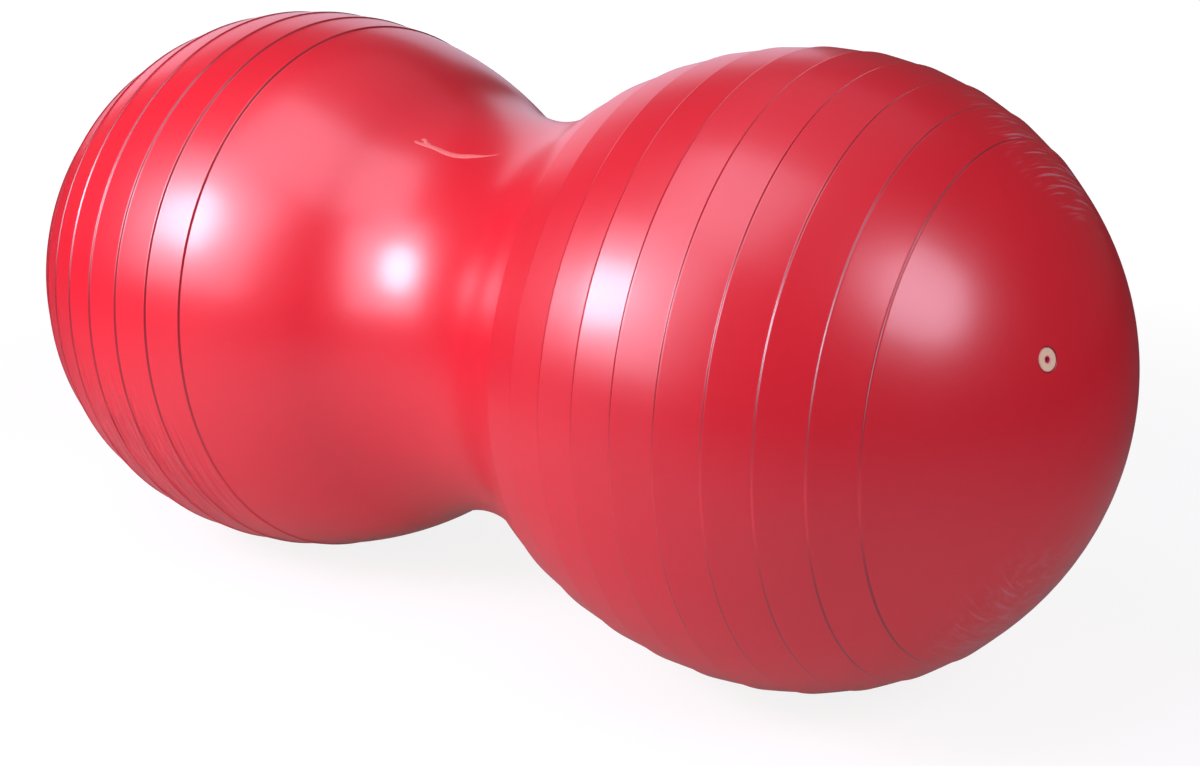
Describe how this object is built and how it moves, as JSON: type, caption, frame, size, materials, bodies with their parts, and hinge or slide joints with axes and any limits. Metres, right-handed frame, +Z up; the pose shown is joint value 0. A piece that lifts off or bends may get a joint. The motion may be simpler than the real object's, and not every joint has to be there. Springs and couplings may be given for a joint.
{
  "type": "peanut exercise ball",
  "caption": "Hollow inflated peanut-shaped exercise ball with two round lobes, a waist, raised rings round both lobes and a soft stopper in a moulded valve seat near one end.",
  "frame": {"origin": "on the floor, under the middle of the waist", "axes": "+X along the ball towards the end with the valve, +Z up from the floor, -Y the side that the valve is turned to"},
  "size_m": [0.938, 0.4516, 0.4492],
  "materials": {
    "red_pvc": "soft semi-gloss moulded PVC skin",
    "cream_pvc": "satin moulded soft PVC"
  },
  "bodies": {
    "ball": {"ball_shell": "red_pvc"},
    "stopper": {"valve_plug": "cream_pvc"}
  },
  "joints": [
    {"name": "stopper_pull", "type": "slide", "parent": "ball", "child": "stopper", "axis": [0.9205, -0.2993, 0.2512], "range_m": [0, 0.024]}
  ]
}
